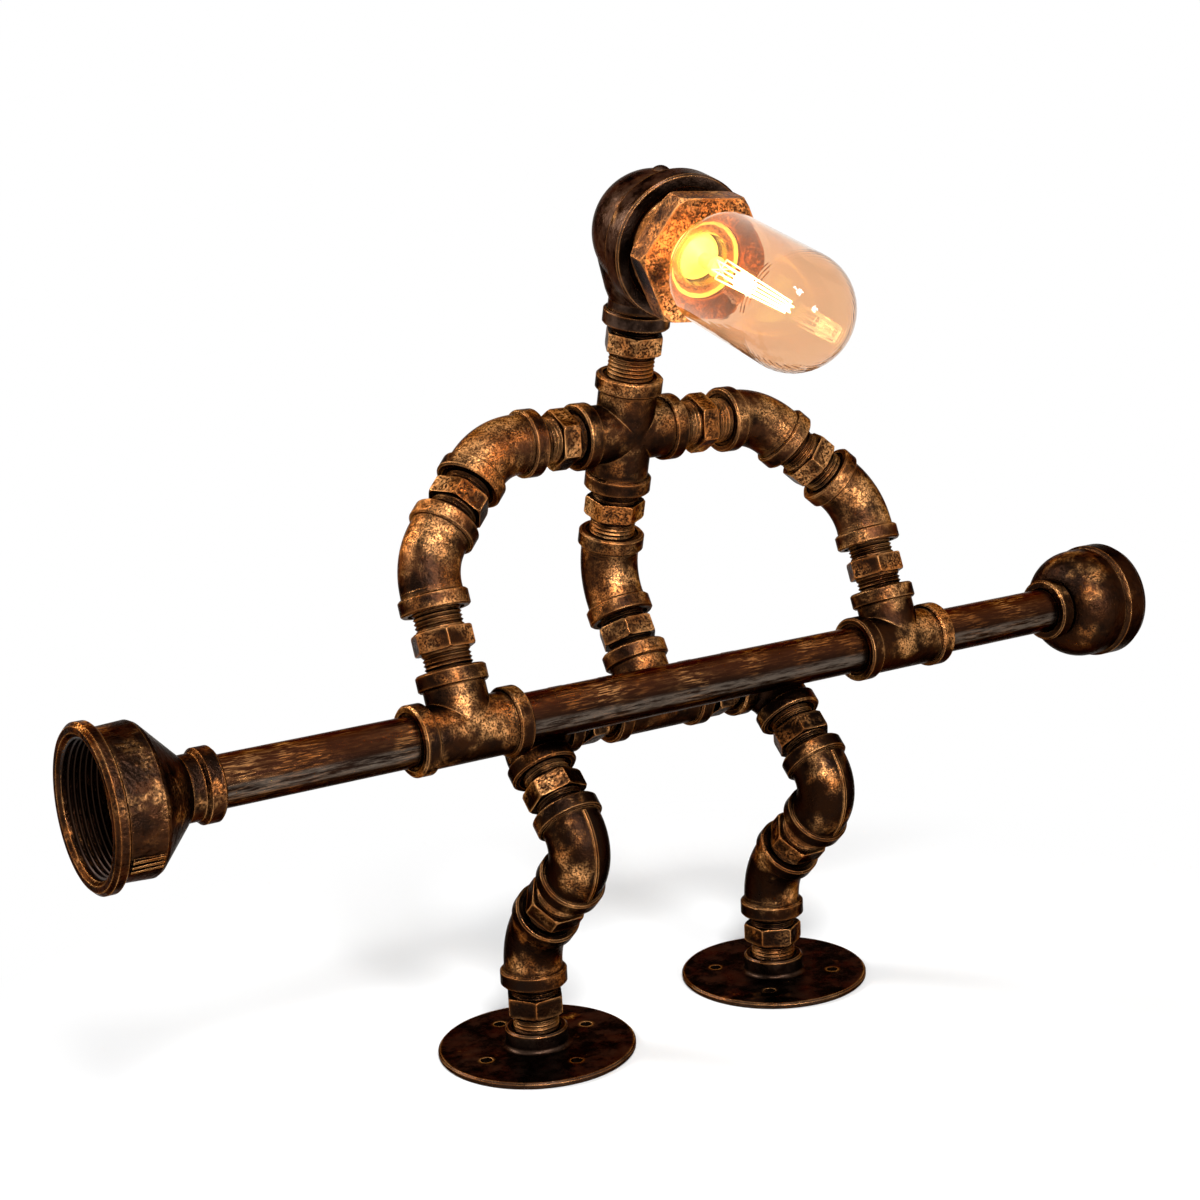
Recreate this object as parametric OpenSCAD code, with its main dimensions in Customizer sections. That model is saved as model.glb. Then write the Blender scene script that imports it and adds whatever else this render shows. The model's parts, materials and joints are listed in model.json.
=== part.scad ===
// Table lamp in the shape of a robot, screwed together from malleable iron
// pipe fittings, hex nipples and three lengths of pipe. A tube bulb screws
// into the head. The front of the robot faces -Y and the barrel that it
// holds runs along X. The feet stand on the plane z = 0.

/* [Pipe thread] */
// Outside diameter of the barrel pipes
pipe_d = 21.3; // [20.9:0.1:22.5]
// Bore of the pipes and nipples
pipe_bore = 15; // [12:0.5:16]
// Crest diameter of the small thread
thread_d = 20.8; // [20:0.05:20.85]
// Distance from one thread crest to the next
thread_pitch = 1.814; // [1.2:0.001:2.4]
// Depth of the thread grooves
thread_depth = 0.9; // [0.5:0.05:1.1]
// Length of thread screwed into each port
thread_grip = 12.5; // [9:0.5:12.5]
// Radial clearance between a thread and its port
thread_fit = 0.05; // [0.03:0.01:0.1]

/* [Fittings] */
// Outside diameter of a fitting between its ports
body_d = 26.6; // [25.5:0.1:28.5]
// Diameter of the band round each port
band_d = 30.2; // [29.2:0.1:32]
// Width of that band
band_w = 7.2; // [5:0.1:9]
// Diameter of the passage behind the ports
core_d = 17.6; // [16:0.1:18.5]
// Centre to face of a right-angled elbow
elbow90_len = 24; // [24:0.5:32]
// Bend radius of a right-angled elbow
elbow90_bend = 15.5; // [14.6:0.1:16]
// Centre to face of a half-bend elbow
elbow45_len = 22; // [20.5:0.5:28]
// Bend radius of a half-bend elbow
elbow45_bend = 32; // [24:0.5:34]
// Centre to face of a tee
tee_len = 26; // [24:0.5:32]
// Centre to face of the cross
cross_len = 27; // [25:0.5:32]
// Width of the mould seam on the right-angled elbows
seam_w = 1.4; // [0.8:0.1:2.5]
// Height of that seam
seam_h = 0.5; // [0.2:0.1:0.8]

/* [Nipples] */
// Size across the flats of the nipple hexagons
hex_af = 24; // [22:0.5:25.5]
// Width of the hexagons
hex_w = 8.6; // [6:0.2:10]
// Gap between flange and ankle elbow
ankle_gap = 20.5; // [14:0.5:28]
// Gap between ankle and knee elbows
shin_gap = 23; // [16:0.5:30]
// Gap between knee and hip elbows
thigh_gap = 19; // [14:0.5:28]
// Gap between left hip elbow and hip tee
hip_gap_left = 19.4; // [14:0.2:28]
// Gap between right hip elbow and hip tee
hip_gap_right = 18; // [14:0.2:28]
// Gap between hip tee and spine elbow
waist_gap = 15.2; // [12:0.2:28]
// Gap between spine elbow and cross
chest_gap = 21; // [14:0.2:28]
// Gap between cross and head
neck_gap = 23; // [14:0.5:28]
// Gap between cross and shoulder elbow on the left of the barrel's muzzle end
shoulder_gap_left = 21.2; // [14:0.2:32]
// Gap between cross and shoulder elbow at the other end
shoulder_gap_right = 27.2; // [14:0.2:32]
// Gap between the two elbows of the left arm
upper_arm_gap_left = 18.8; // [12:0.2:30]
// Gap between the two elbows of the right arm
upper_arm_gap_right = 23.2; // [12:0.2:30]
// Gap between left arm elbow and hand tee
forearm_gap_left = 25; // [22:0.2:30]

/* [Stance] */
// Backward lean of the waist from upright
waist_lean = 30; // [25:0.5:36]
// Forward slope of the arms from upright
arm_slope = 20.5; // [10:0.5:24]
// Turn of the head towards the muzzle
head_turn = 8; // [0:0.5:20]

/* [Feet] */
// Diameter of the floor flanges
flange_d = 89.5; // [80:0.5:100]
// Thickness of the flange plate
flange_t = 3; // [2:0.1:5]
// Height of the flange hub
hub_h = 11.4; // [9:0.1:18]
// Diameter of the flange hub
hub_d = 28.2; // [26.5:0.1:31]
// Diameter of the screw holes
screw_hole_d = 5.5; // [4:0.1:7]
// Number of screw holes
screw_holes = 4; // [3:1:6]
// Pitch circle of the screw holes
screw_circle_d = 57; // [50:0.5:66]
// Turn of the left flange's screw holes
screw_turn_left = 5; // [0:1:90]
// Turn of the right flange's screw holes
screw_turn_right = 47; // [0:1:90]

/* [Barrel] */
// Visible length of the pipe between muzzle and left hand
front_pipe_len = 86.5; // [60:0.5:110]
// Visible length of the pipe between right hand and rear bell
rear_pipe_len = 74; // [50:0.5:100]
// Length of the muzzle reducer
muzzle_len = 51.6; // [45:0.2:65]
// Diameter of the muzzle body
muzzle_d = 60.8; // [54:0.2:66]
// Diameter of the band round the muzzle mouth
muzzle_band_d = 66; // [62:0.2:72]
// Opening of the muzzle mouth
muzzle_mouth_d = 54.6; // [48:0.2:55.4]
// Length of the rear bell
bell_len = 46; // [40:0.2:56]
// Diameter of the rear bell
bell_d = 54; // [48:0.2:60]
// Diameter of the band round the bell's rim
bell_band_d = 56.6; // [52:0.2:64]
// Opening of the rear bell
bell_mouth_d = 46; // [40:0.2:50]

/* [Head] */
// Centre of the head to its neck port
head_drop = 43.5; // [38:0.5:50]
// Centre of the head to its front face
head_reach = 34; // [34:0.2:42]
// Diameter of the head's body
head_d = 53.8; // [52:0.2:58]
// Diameter of the band round the front of the head
head_band_d = 62.8; // [60:0.2:68]
// Width of that band
head_band_w = 12.4; // [9:0.2:14]
// Crest diameter of the bushing's thread
bush_thread_d = 47.8; // [46:0.1:48.5]
// Distance from one crest of that thread to the next
bush_pitch = 2.309; // [1.8:0.001:3]
// Thread left showing between head and hexagon
bush_thread_show = 7.6; // [4:0.2:10]
// Size across the flats of the bushing
bush_af = 52; // [49:0.2:55]
// Thickness of the bushing's hexagon
bush_hex_t = 12.2; // [8:0.2:14]

/* [Lamp] */
// Outside diameter of the lamp holder
holder_d = 33; // [32:0.2:34]
// Diameter of the bulb's tube
bulb_d = 48.2; // [44:0.2:50]
// Length of the bulb in front of the bushing
bulb_reach = 94.5; // [80:0.5:110]
// Wall of the glass
glass_t = 0.8; // [0.6:0.1:1.5]
// Crest diameter of the bulb's screw cap
cap_d = 26.2; // [25.6:0.1:26.4]

/* [Hidden] */
$fn = 64;
LEFT = -1;
RIGHT = 1;

// Colours of the cast iron, the rubbed nipples, the pipes and the lamp parts
IRON = [0.24, 0.14, 0.08];
WORN = [0.62, 0.38, 0.20];
DARK = [0.18, 0.11, 0.07];
BRASS = [0.80, 0.62, 0.30];
CERAMIC = [0.92, 0.88, 0.76];
GLASS = [0.95, 0.80, 0.70];
RUBBER = [0.08, 0.08, 0.08];
GLOW = [1, 0.85, 0.45];

// Small sizes that many pieces share
edge = 0.8;        // chamfer on cast edges
end_chamfer = 1;   // chamfer on thread ends
mouth = 1;         // countersink at each port
overlap = 1;       // how far joined shapes run into each other
cut = 1;           // how far a cut runs past a face
seat_gap = 0.3;    // between loose parts that rest by each other
bend_lap = 0.5;    // how far a branch runs into its bend
bend_step = 0.05;  // step from a branch down to its bend
sharp_bend = 75;   // bends of at least this angle meet their branches flush

// Radii that the pieces share
body_r = body_d / 2;
band_r = band_d / 2;
thread_r = thread_d / 2;
port_r = thread_r + thread_fit;
port_depth = thread_grip + 0.7;
core_r = core_d / 2;
bore_r = pipe_bore / 2;
pipe_r = pipe_d / 2;

// Angles that the elbows turn by. Two elbows share the right angle of each arm
half_bend = 45;
full_bend = 90;
rest_bend = 90 - half_bend;
shin_tilt = half_bend;
thigh_tilt = shin_tilt - full_bend;
waist_tilt = -waist_lean;
chest_tilt = waist_tilt + half_bend;

// One of two values, for the left or the right side
function pick(side, left, right) = side == LEFT ? left : right;

// Unit vector that leans towards -Y by the angle tilt from upright
function lean(tilt) = [0, -sin(tilt), cos(tilt)];

// Leg, from the floor up, in the plane of one leg
ankle_c = lean(0) * (hub_h + ankle_gap + elbow45_len);
knee_c = ankle_c + lean(shin_tilt) * (elbow45_len + shin_gap + elbow90_len);
hip_c = knee_c + lean(thigh_tilt) * (elbow90_len + thigh_gap + elbow90_len);
function hip_gap(side) = pick(side, hip_gap_left, hip_gap_right);
function leg_x(side) = elbow90_len + hip_gap(side) + tee_len;
flange_grip = hub_h - 1;  // the ankle thread stops short of the floor

// Torso, in the middle plane
spine_c = hip_c + lean(waist_tilt) * (tee_len + waist_gap + elbow45_len);
cross_c = spine_c + lean(chest_tilt) * (elbow45_len + chest_gap + cross_len);
head_c = cross_c + lean(chest_tilt) * (cross_len + neck_gap + head_drop);

// Cord inlet at the back of the hip tee
grommet_hole_r = 4.6;
grommet_flange_r = 6.2;
grommet_flange_t = 1.8;
grommet_bore_r = 3.6;
spot_r = grommet_flange_r + 0.4;
spot_z = body_r - 1;

// Arms, in a plane that slopes forward from the cross. Both hands hold one
// straight barrel, so the right forearm makes up what the upper arms differ
function shoulder_gap(side) = pick(side, shoulder_gap_left, shoulder_gap_right);
function upper_arm_gap(side) = pick(side, upper_arm_gap_left, upper_arm_gap_right);
function upper_arm_run(side) = 2 * elbow45_len + upper_arm_gap(side);
function shoulder_x(side) = cross_len + shoulder_gap(side) + elbow45_len;
function hand_x(side) = shoulder_x(side) + upper_arm_run(side) * cos(half_bend);
function elbow_drop(side) = upper_arm_run(side) * sin(half_bend);
hand_drop = elbow_drop(LEFT) + elbow45_len + forearm_gap_left + tee_len;
function forearm_gap(side) = hand_drop - elbow_drop(side) - elbow45_len - tee_len;

// Barrel, measured outwards from the middle of the arms
muzzle_x = hand_x(LEFT) + tee_len + front_pipe_len;
bell_x = hand_x(RIGHT) + tee_len + rear_pipe_len;
pipe_shoulder = 0.5;      // thread left showing between a pipe and its port
muzzle_r = muzzle_d / 2;
muzzle_band_r = muzzle_band_d / 2;
muzzle_mouth_r = muzzle_mouth_d / 2;
muzzle_neck = 14;         // port face to the start of the cone
muzzle_cone = 16;         // length of the cone
muzzle_band_w = 5.8;
muzzle_groove = 0.8;      // depth of the groove beside the band
muzzle_wall = 2.6;
mouth_chamfer = 1.6;
rib_w = 1.1;              // grip ribs under the muzzle
rib_h = 0.8;
rib_step = 5;
rib_turn = 146;
bell_r = bell_d / 2;
bell_band_r = bell_band_d / 2;
bell_mouth_r = bell_mouth_d / 2;
bell_neck = 8.4;          // port face to the start of the bowl
bell_bowl = 17;           // length of the bowl's curve
bell_band_w = 13;
bell_groove = 0.9;        // depth of the groove beside the band
bell_wall = 3.4;

// Head, measured forwards from its middle
head_r = head_d / 2;
head_band_r = head_band_d / 2;
dome_z = 7;               // the dome's centre lies forward of the neck
head_wall = 4.5;
neck_flare_z = 8;         // the neck's flare starts this far below the middle
neck_flare_r = head_r - head_wall;
neck_flare_w = 3;         // the flare's upper part narrows by this
neck_flare_h = 9;         // over this height
neck_root_w = 2;          // the flare's root stands out from the neck by this
neck_root_z = 8;          // and ends this far above the band
nub_r = 5;
nub_h = 1.8;
bush_thread_r = bush_thread_d / 2;
bush_thread_depth = 0.9;
bush_grip = 15;
bush_back = head_reach - bush_grip;
bush_front = head_reach + bush_thread_show + bush_hex_t;
holder_r = holder_d / 2;
holder_fit = 0.1;
holder_flange_w = 3;
holder_flange_r = holder_r + holder_flange_w;
holder_flange_t = 3;
holder_back = bush_back - holder_flange_t;
holder_inset = 2;         // the holder's rim lies this far inside the bushing
holder_front = bush_front - holder_inset;
terminal_r = 12;
terminal_h = 6;

// Bulb and its screw, measured forwards from the middle of the head
cap_r = cap_d / 2;
cap_pitch = 3.62;
cap_groove = 0.8;
cap_wall = 0.5;
cap_len = 22;
cap_front = holder_front - 1;
cap_back = cap_front - cap_len;
shell_gap = 0.35;         // running clearance between cap and shell
shell_wall = 0.5;
shell_r = cap_r + shell_gap;
shell_outer_r = shell_r + cap_groove + shell_wall;
insulator_h = 4;
contact_r = 4.5;
contact_h = 1.2;
contact_fit = 0.05;       // between the contact and the insulator that turns on it
contact_z = cap_back - insulator_h - contact_fit - contact_h;
spring_h = 2.5;
well_z = contact_z - seat_gap - spring_h;
bulb_r = bulb_d / 2;
bulb_end = bush_front + bulb_reach;
shoulder_len = 17;        // the glass swells to its full width over this length
shoulder_back = 3;        // and starts this far behind the bushing's face
glass_gap = 0.4;          // between cap and glass, and between glass and stem
glass_foot = cap_front - 6;
glass_foot_r = cap_r - cap_groove - cap_wall - glass_gap;
stem_r = 3.2;
stem_show = 9;            // the stem ends this far in front of the bushing
stem_end = bush_front + stem_show;
stem_foot_r = glass_foot_r - glass_t - glass_gap;
stem_foot_h = 1;
stem_cone = 7;            // from the foot in to the stem's own radius
stem_rim = 1;             // how far the stem's rim stands out
stem_tip = 3;             // length of the stem's round tip
filament_wire_r = 0.35;
filament_r = 4.4;         // at the stem; the wires close in towards the tip
filament_tip_r = 2.4;
filament_wires = 6;
filament_room = 28.5;     // between the filament and the end of the bulb
filament_end = bulb_end - filament_room;

// Leads inside the pipes, along the side of the bores
lead_r = 3;
lead_x = bore_r - lead_r - seat_gap;
head_lead_bend = 9;

// Nipple hexagons stand off the middle of their gaps by these distances
shift_ankle = 1;
shift_shin = -3;
shift_chest = 1.4;
shift_neck = 4;
shift_shoulder_left = -2.5;
shift_shoulder_right = 0.5;
shift_upper_arm_left = -0.8;
shift_upper_arm_right = 1;
hex_face = 30;            // turn that brings a flat to the front

// Origin: on the floor, under the middle of the whole lamp
function turn_x(v, a) = [v.x, v.y * cos(a) - v.z * sin(a), v.y * sin(a) + v.z * cos(a)];
function turn_z(v, a) = [v.x * cos(a) - v.y * sin(a), v.x * sin(a) + v.y * cos(a), v.z];
bulb_tip = head_c + turn_x(turn_z([0, bulb_r - bulb_end, 0], -head_turn), chest_tilt);
reach_x = [-muzzle_x - muzzle_len, bell_x + bell_len];
reach_y = [bulb_tip.y - bulb_r, flange_d / 2];
origin = [(reach_x[0] + reach_x[1]) / 2, (reach_y[0] + reach_y[1]) / 2, 0];

// ---- Places ----

module on_floor() {
    translate(-origin) children();
}

module on_side(side) {
    mirror([side == LEFT ? 1 : 0, 0, 0]) children();
}

module in_leg(side) {
    on_floor() translate([side * leg_x(side), 0, 0]) children();
}

module at_point(point, tilt) {
    translate(point) rotate([tilt, 0, 0]) children();
}

// x runs outwards along the shoulder, z up the sloping plane of the arms
module in_arms(side) {
    on_floor() translate(cross_c) rotate([-arm_slope, 0, 0]) on_side(side) children();
}

// z runs outwards along the barrel
module on_barrel(side, x) {
    in_arms(side) translate([x, 0, -hand_drop]) rotate([0, 90, 0]) children();
}

module in_head() {
    on_floor() at_point(head_c, chest_tilt) rotate([0, 0, -head_turn]) children();
}

// z runs forwards from the middle of the head
module at_face() {
    in_head() rotate([90, 0, 0]) children();
}

// ---- Shapes that pieces share ----

// Outline of a row of thread rings between the heights z0 and z1
function rings(z0, z1, crest, depth, pitch) =
    let (turns = floor((z1 - z0 - pitch / 4) / pitch))
    let (start = (z0 + z1 - turns * pitch) / 2)
    [for (i = [0:1:2 * turns]) [crest - (i % 2) * depth, start + i * pitch / 2]];

// Outline of an arc round centre c
function arc(c, r, from, to, steps = 10) =
    [for (i = [0:steps]) let (a = from + (to - from) * i / steps) c + r * [cos(a), sin(a)]];

// Threaded branch of a fitting, whose banded port faces up at z = len
module branch(len, start = 0) {
    translate([0, 0, start]) cylinder(h = len - edge - start, r = body_r);
    translate([0, 0, len - band_w]) rotate_extrude()
        polygon([[body_r - overlap, 0], [band_r - edge, 0], [band_r, edge],
                 [band_r, band_w - edge], [band_r - edge, band_w],
                 [body_r - overlap, band_w]]);
}

// The port's threaded hole with its countersink, and the passage behind it
module branch_bore(len, start = 0) {
    translate([0, 0, start]) cylinder(h = len - start, r = core_r);
    translate([0, 0, len - port_depth]) cylinder(h = port_depth + cut, r = port_r);
    translate([0, 0, len - mouth]) cylinder(h = 2 * mouth, r1 = port_r, r2 = port_r + 2 * mouth);
}

// Round bar that starts upwards at the origin and bends towards +X
module bend(r, radius, angle) {
    translate([radius, 0, 0]) rotate([90, 0, 0])
        rotate_extrude(angle = -angle, start = 180) translate([radius, 0]) circle(r = r);
}

// Line left by the mould along the back of a bend
module mould_seam(radius, angle) {
    translate([radius, 0, 0]) rotate([90, 0, 0])
        rotate_extrude(angle = -angle, start = 180)
            translate([radius + body_r - overlap, -seam_w / 2])
                square([overlap + seam_h, seam_w]);
}

// Elbow round the point where its axes cross: one port faces down, the other
// leans from upright towards +X by angle. A gentle bend is slightly slimmer
// than its branches, which run into it; a sharp one meets them flush
module elbow(len, radius, angle, seam = false) {
    tangent = radius * tan(angle / 2);
    lap = angle < sharp_bend ? bend_lap : 0;
    step = angle < sharp_bend ? bend_step : 0;
    difference() {
        union() {
            for (turn = [180, angle]) {
                rotate([0, turn, 0]) branch(len, tangent - lap);
            }
            translate([0, 0, -tangent]) bend(body_r - step, radius, angle);
            if (seam) {
                translate([0, 0, -tangent]) mould_seam(radius, angle);
            }
        }
        for (turn = [180, angle]) {
            rotate([0, turn, 0]) branch_bore(len, tangent - lap);
        }
        translate([0, 0, -tangent]) bend(core_r + step, radius, angle);
    }
}

// Tee or cross: its branches lean from upright towards +X by the given turns
module run_fitting(len, turns) {
    difference() {
        union() {
            for (turn = turns) {
                rotate([0, turn, 0]) branch(len);
            }
        }
        for (turn = turns) {
            rotate([0, turn, 0]) branch_bore(len);
        }
    }
}

// Hexagon with its corners turned off, and a hole for the shank
module hexagon(af, width, hole_r) {
    corner = af / 2 / cos(30);
    bevel = corner * 0.06;
    difference() {
        intersection() {
            cylinder(h = width, r = corner, $fn = 6);
            rotate_extrude()
                polygon([[0, 0], [corner - bevel, 0], [corner, bevel],
                         [corner, width - bevel], [corner - bevel, width], [0, width]]);
        }
        translate([0, 0, -cut]) cylinder(h = width + 2 * cut, r = hole_r);
    }
}

// Hex nipple between port faces at z = 0 and z = gap. Its hexagon stands off
// the middle by shift and is turned by turn, and its thread shows on both sides
module hex_nipple(gap, shift = 0, turn = 0, low_grip = thread_grip) {
    hex_z = (gap - hex_w) / 2 + shift;
    rotate_extrude()
        polygon(concat(
            [[bore_r, -low_grip], [thread_r - end_chamfer, -low_grip],
             [thread_r, end_chamfer - low_grip]],
            rings(-mouth, hex_z, thread_r, thread_depth, thread_pitch),
            rings(hex_z + hex_w, gap + mouth, thread_r, thread_depth, thread_pitch),
            [[thread_r, gap + thread_grip - end_chamfer],
             [thread_r - end_chamfer, gap + thread_grip], [bore_r, gap + thread_grip]]));
    translate([0, 0, hex_z]) rotate([0, 0, turn]) hexagon(hex_af, hex_w, bore_r + overlap);
}

// ---- Legs ----

module flange(side) {
    flange_r = flange_d / 2;
    hub_r = hub_d / 2;
    fillet = 2;
    screw_turn = pick(side, screw_turn_left, screw_turn_right);
    color(IRON) in_leg(side) difference() {
        rotate_extrude()
            polygon(concat(
                [[0, 0], [flange_r - edge, 0], [flange_r, edge], [flange_r, flange_t - edge],
                 [flange_r - edge, flange_t]],
                arc([hub_r + fillet, flange_t + fillet], fillet, 270, 180, 6),
                [[hub_r, hub_h - edge], [hub_r - edge, hub_h], [0, hub_h]]));
        translate([0, 0, -cut]) cylinder(h = hub_h + 2 * cut, r = port_r);
        translate([0, 0, hub_h - mouth])
            cylinder(h = 2 * mouth, r1 = port_r, r2 = port_r + 2 * mouth);
        for (i = [0:screw_holes - 1]) {
            rotate([0, 0, screw_turn + i * 360 / screw_holes])
                translate([screw_circle_d / 2, 0, -cut])
                    cylinder(h = flange_t + 2 * cut, d = screw_hole_d);
        }
    }
}

module ankle_nipple(side) {
    color(WORN) in_leg(side) translate([0, 0, hub_h])
        hex_nipple(ankle_gap, shift_ankle, pick(side, 0, hex_face), flange_grip);
}

module shin_elbow(side) {
    color(IRON) in_leg(side) at_point(ankle_c, 0) rotate([0, 0, -90])
        elbow(elbow45_len, elbow45_bend, half_bend);
}

module shin_nipple(side) {
    color(WORN) in_leg(side) at_point(ankle_c, shin_tilt)
        translate([0, 0, elbow45_len]) hex_nipple(shin_gap, shift_shin);
}

module knee_elbow(side) {
    color(IRON) in_leg(side) at_point(knee_c, shin_tilt) rotate([0, 0, 90])
        elbow(elbow90_len, elbow90_bend, full_bend, seam = true);
}

module thigh_nipple(side) {
    color(WORN) in_leg(side) at_point(knee_c, thigh_tilt)
        translate([0, 0, elbow90_len])
            hex_nipple(thigh_gap, turn = pick(side, hex_face, 0));
}

module hip_elbow(side) {
    color(IRON) in_leg(side) at_point(hip_c, thigh_tilt) on_side(-side)
        elbow(elbow90_len, elbow90_bend, 90, seam = true);
}

module hip_nipple(side) {
    color(WORN) in_leg(side) translate(hip_c) on_side(-side) rotate([0, 90, 0])
        translate([0, 0, elbow90_len]) hex_nipple(hip_gap(side));
}

// ---- Torso ----

module hip_tee() {
    color(IRON) on_floor() at_point(hip_c, waist_tilt) difference() {
        run_fitting(tee_len, [-90, 0, 90]);
        rotate([-90, 0, 0]) cylinder(h = body_r + cut, r = grommet_hole_r);
        rotate([-90, 0, 0]) translate([0, 0, spot_z]) cylinder(h = body_r, r = spot_r);
    }
}

// Rubber bush that the mains cord comes out through
module cord_grommet() {
    color(RUBBER) on_floor() at_point(hip_c, waist_tilt) rotate([-90, 0, 0])
        translate([0, 0, spot_z]) rotate_extrude()
            polygon([[grommet_bore_r, core_r - spot_z], [grommet_hole_r, core_r - spot_z],
                     [grommet_hole_r, 0], [grommet_flange_r, 0],
                     [grommet_flange_r, grommet_flange_t / 2],
                     [grommet_flange_r - edge, grommet_flange_t],
                     [grommet_bore_r, grommet_flange_t]]);
}

module waist_nipple() {
    color(WORN) on_floor() at_point(hip_c, waist_tilt) translate([0, 0, tee_len])
        hex_nipple(waist_gap);
}

module spine_elbow() {
    color(IRON) on_floor() at_point(spine_c, waist_tilt) rotate([0, 0, -90])
        elbow(elbow45_len, elbow45_bend, half_bend);
}

module chest_nipple() {
    color(WORN) on_floor() at_point(spine_c, chest_tilt) translate([0, 0, elbow45_len])
        hex_nipple(chest_gap, shift_chest, hex_face);
}

module chest_cross() {
    color(IRON) on_floor() at_point(cross_c, chest_tilt)
        run_fitting(cross_len, [-90, 0, 90, 180]);
}

module neck_nipple() {
    color(WORN) on_floor() at_point(cross_c, chest_tilt) translate([0, 0, cross_len])
        hex_nipple(neck_gap, shift_neck);
}

module shoulder_nipple(side) {
    color(WORN) on_floor() translate(cross_c) on_side(side) rotate([0, 90, 0])
        translate([0, 0, cross_len])
            hex_nipple(shoulder_gap(side), pick(side, shift_shoulder_left, shift_shoulder_right));
}

// Wires from the cord inlet up to the neck, along one side of the bores
module torso_lead() {
    tangent = elbow45_bend * tan(half_bend / 2);
    waist_run = norm(spine_c - hip_c) - tangent;
    chest_run = norm(cross_c - spine_c) + cross_len + neck_gap + thread_grip - tangent;
    color(RUBBER) on_floor() translate([lead_x, 0, 0]) {
        at_point(hip_c, waist_tilt) cylinder(h = waist_run + bend_lap, r = lead_r);
        at_point(spine_c, waist_tilt) translate([0, 0, -tangent]) rotate([0, 0, -90])
            bend(lead_r - bend_step, elbow45_bend, half_bend);
        at_point(spine_c, chest_tilt) translate([0, 0, tangent - bend_lap])
            cylinder(h = chest_run + bend_lap, r = lead_r);
    }
}

// ---- Arms ----

module shoulder_elbow(side) {
    color(IRON) in_arms(side) translate([shoulder_x(side), 0, 0]) rotate([0, 90, 0])
        elbow(elbow45_len, elbow45_bend, half_bend);
}

module upper_arm_nipple(side) {
    color(WORN) in_arms(side) translate([shoulder_x(side), 0, 0])
        rotate([0, 90 + half_bend, 0]) translate([0, 0, elbow45_len])
            hex_nipple(upper_arm_gap(side),
                       pick(side, shift_upper_arm_left, shift_upper_arm_right));
}

module arm_elbow(side) {
    color(IRON) in_arms(side) translate([hand_x(side), 0, -elbow_drop(side)])
        rotate([0, 90 + half_bend, 0]) elbow(elbow45_len, elbow45_bend, rest_bend);
}

module forearm_nipple(side) {
    color(WORN) in_arms(side) translate([hand_x(side), 0, -elbow_drop(side)])
        rotate([0, 180, 0]) translate([0, 0, elbow45_len]) 
            hex_nipple(forearm_gap(side), turn = pick(side, 12, 0));
}

module hand_tee(side) {
    color(IRON) in_arms(side) translate([hand_x(side), 0, -hand_drop])
        run_fitting(tee_len, [-90, 0, 90]);
}

// ---- Barrel ----

// Pipe between port faces at z = 0 and z = len, threaded at both ends
module pipe(len) {
    color(DARK) rotate_extrude()
        polygon([[bore_r, -thread_grip], [thread_r - end_chamfer, -thread_grip],
                 [thread_r, end_chamfer - thread_grip], [thread_r, pipe_shoulder],
                 [pipe_r, pipe_shoulder], [pipe_r, len - pipe_shoulder],
                 [thread_r, len - pipe_shoulder], [thread_r, len + thread_grip - end_chamfer],
                 [thread_r - end_chamfer, len + thread_grip], [bore_r, len + thread_grip]]);
}

module front_pipe() {
    on_barrel(LEFT, hand_x(LEFT) + tee_len) pipe(front_pipe_len);
}

module middle_pipe() {
    on_barrel(RIGHT, tee_len - hand_x(LEFT)) pipe(hand_x(LEFT) + hand_x(RIGHT) - 2 * tee_len);
}

module rear_pipe() {
    on_barrel(RIGHT, hand_x(RIGHT) + tee_len) pipe(rear_pipe_len);
}

// Outline of a small banded port whose face is at z = 0, from the hole
// outwards and up to the end of the band
port_outline = [[core_r, port_depth], [port_r, port_depth], [port_r, mouth],
                [port_r + mouth, 0], [band_r - edge, 0], [band_r, edge],
                [band_r, band_w - edge], [band_r - edge, band_w]];

// Reducing socket: small port at z = 0, wide mouth at the far end
module muzzle_reducer() {
    cone_end = muzzle_neck + muzzle_cone;
    band_z = muzzle_len - muzzle_band_w;
    groove_r = muzzle_r - muzzle_groove;
    color(IRON) on_barrel(LEFT, muzzle_x) {
        rotate_extrude()
            polygon(concat(
                port_outline,
                [[body_r, band_w + edge], [body_r, muzzle_neck - edge],
                 [body_r + edge, muzzle_neck], [muzzle_r - edge, cone_end - edge],
                 [muzzle_r, cone_end + edge], [groove_r, band_z - edge],
                 [muzzle_band_r - edge, band_z], [muzzle_band_r, band_z + edge],
                 [muzzle_band_r, muzzle_len - mouth_chamfer],
                 [muzzle_band_r - mouth_chamfer, muzzle_len],
                 [muzzle_mouth_r + mouth_chamfer, muzzle_len],
                 [muzzle_mouth_r, muzzle_len - mouth_chamfer],
                 [muzzle_mouth_r, cone_end + muzzle_wall],
                 [core_r, muzzle_neck + 2 * muzzle_wall]]));
        for (group = [0, 180], i = [-1:1]) {
            rotate([0, 0, rib_turn + group + i * rib_step])
                translate([muzzle_r - 2 * overlap, -rib_w / 2, cone_end + 2 * edge])
                    cube([2 * overlap + rib_h, rib_w, band_z - cone_end - 4 * edge]);
        }
    }
}

function flip(list) = [for (i = [len(list) - 1:-1:0]) list[i]];

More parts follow.
